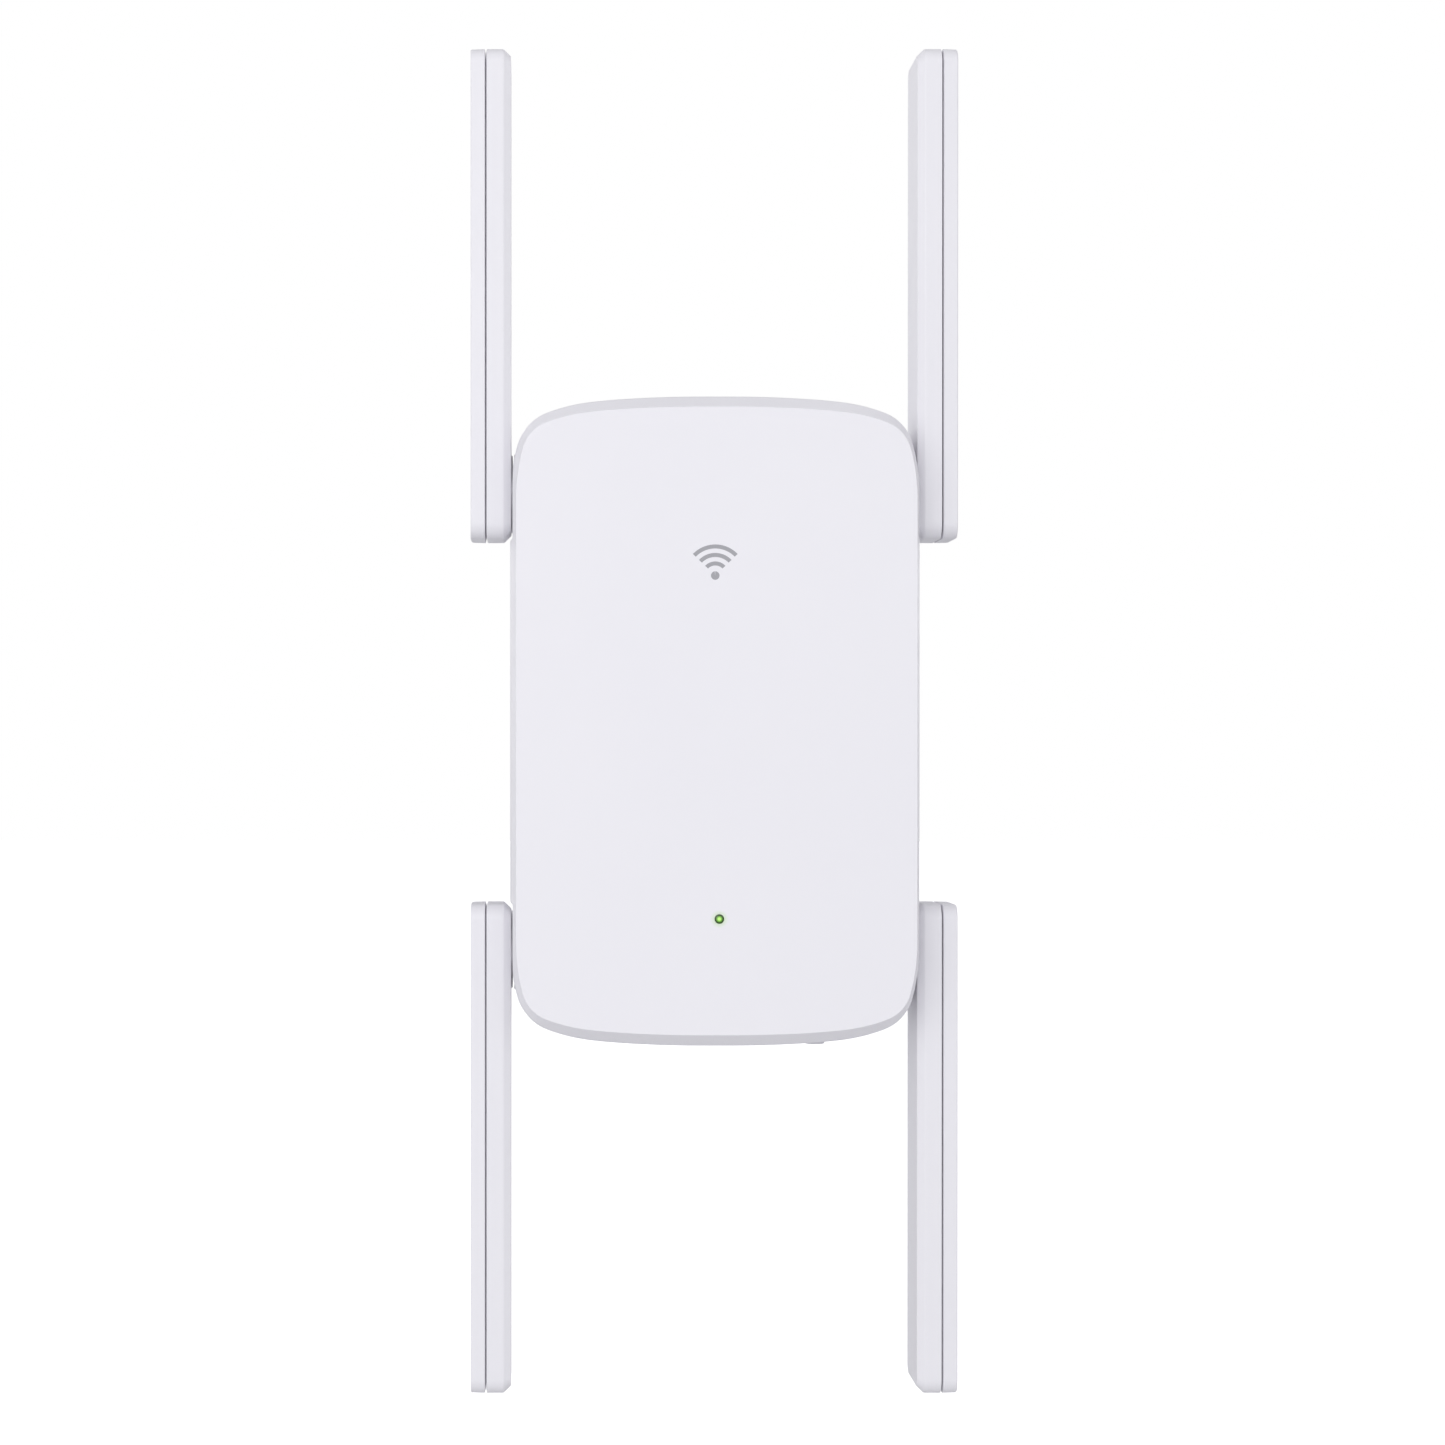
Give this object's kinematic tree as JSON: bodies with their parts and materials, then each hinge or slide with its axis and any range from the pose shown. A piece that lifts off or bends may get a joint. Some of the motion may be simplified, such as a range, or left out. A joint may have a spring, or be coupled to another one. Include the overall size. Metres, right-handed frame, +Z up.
{
  "type": "wifi range extender",
  "caption": "Wall-plug Wi-Fi range extender: tall rounded white housing, rear mains plug, swing-out paddle antennas, status light, pairing button and network socket.",
  "frame": {"origin": "midway between the two plug pins, on the plug face that meets the socket", "axes": "+Y along the pins into the wall, -Y towards the room, +Z up, +X to the right as seen from the room"},
  "size_m": [0.0932, 0.0685, 0.2576],
  "materials": {
    "cover_plastic": "satin moulded white ABS/PC, faint spark texture",
    "housing_plastic": "satin moulded white ABS/PC",
    "antenna_plastic": "satin moulded white ABS",
    "plug_plastic": "satin moulded white PC",
    "button_plastic": "satin moulded light grey ABS",
    "pin_metal": "nickel-plated brass",
    "brass_strip": "spring brass strip",
    "label_film": "matt polyester film, unprinted",
    "zinc_screw": "zinc-plated steel",
    "board_green": "glass-epoxy board with green solder mask",
    "board_tan": "paper-phenolic board",
    "chip_black": "moulded epoxy",
    "tinned_steel": "tin-plated sheet",
    "thermal_silicone": "silicone pad",
    "spreader_alloy": "plain sheet",
    "light_pipe_clear": "clear polycarbonate lit green",
    "led_lens": "clear epoxy lens",
    "switch_body": "moulded nylon",
    "switch_stem": "moulded nylon",
    "jack_plastic": "black moulded PBT",
    "gold_contact": "gold-plated phosphor bronze",
    "transformer_tape": "ferrite and polyester tape",
    "capacitor_sleeve": "shrunk sleeve over an aluminium can",
    "choke_winding": "enamelled copper winding",
    "fuse_ceramic": "ceramic body",
    "insulating_film": "polyester film",
    "header_plastic": "black moulded nylon with tinned pins",
    "cable_jacket": "extruded fluoropolymer jacket",
    "washer_acetal": "acetal",
    "clip_steel": "spring steel"
  },
  "bodies": {
    "housing": {"front_cover": "cover_plastic", "rear_housing": "housing_plastic", "plug_insert": "plug_plastic", "plug_pin_left": "pin_metal", "plug_pin_right": "pin_metal", "pin_contacts": "brass_strip", "rating_label": "label_film", "housing_screws": "zinc_screw", "main_board": "board_green", "board_screws": "zinc_screw", "wifi_processor": "chip_black", "radio_chip": "chip_black", "memory_chip": "chip_black", "shield_can_large": "tinned_steel", "shield_can_small": "tinned_steel", "thermal_pad": "thermal_silicone", "heat_spreader": "spreader_alloy", "light_pipe": "light_pipe_clear", "status_led": "led_lens", "tact_switch": "switch_body", "network_jack": "jack_plastic", "jack_contacts": "gold_contact", "coax_sockets": "gold_contact", "power_board": "board_tan", "transformer": "transformer_tape", "bulk_capacitors": "capacitor_sleeve", "output_capacitors": "capacitor_sleeve", "line_choke": "choke_winding", "fuse": "fuse_ceramic", "bridge_rectifier": "chip_black", "insulating_sheet": "insulating_film", "dc_header": "header_plastic", "coax_upper_left": "cable_jacket", "coax_upper_right": "cable_jacket", "coax_lower_left": "cable_jacket", "coax_lower_right": "cable_jacket"},
    "antenna_upper_left": {"inner_shell_upper_left": "antenna_plastic", "outer_shell_upper_left": "antenna_plastic", "element_upper_left": "board_green", "washer_upper_left": "washer_acetal", "clip_upper_left": "clip_steel"},
    "antenna_upper_right": {"inner_shell_upper_right": "antenna_plastic", "outer_shell_upper_right": "antenna_plastic", "element_upper_right": "board_green", "washer_upper_right": "washer_acetal", "clip_upper_right": "clip_steel"},
    "antenna_lower_left": {"inner_shell_lower_left": "antenna_plastic", "outer_shell_lower_left": "antenna_plastic", "element_lower_left": "board_green", "washer_lower_left": "washer_acetal", "clip_lower_left": "clip_steel"},
    "antenna_lower_right": {"inner_shell_lower_right": "antenna_plastic", "outer_shell_lower_right": "antenna_plastic", "element_lower_right": "board_green", "washer_lower_right": "washer_acetal", "clip_lower_right": "clip_steel"},
    "button": {"button_cap": "button_plastic", "switch_plunger": "switch_stem"}
  },
  "joints": [
    {"name": "swing_upper_left", "type": "hinge", "parent": "housing", "child": "antenna_upper_left", "pos_m": [-0.0383, -0.032, 0.044], "axis": [1, 0, 0], "range_deg": [0, 90]},
    {"name": "swing_upper_right", "type": "hinge", "parent": "housing", "child": "antenna_upper_right", "pos_m": [0.0383, -0.032, 0.044], "axis": [1, 0, 0], "range_deg": [0, 90]},
    {"name": "swing_lower_left", "type": "hinge", "parent": "housing", "child": "antenna_lower_left", "pos_m": [-0.0383, -0.032, -0.044], "axis": [-1, 0, 0], "range_deg": [0, 90]},
    {"name": "swing_lower_right", "type": "hinge", "parent": "housing", "child": "antenna_lower_right", "pos_m": [0.0383, -0.032, -0.044], "axis": [-1, 0, 0], "range_deg": [0, 90]},
    {"name": "button_press", "type": "slide", "parent": "housing", "child": "button", "axis": [0, 0, 1], "range_m": [0, 0.0005], "stiffness_N_per_m": 1500}
  ]
}
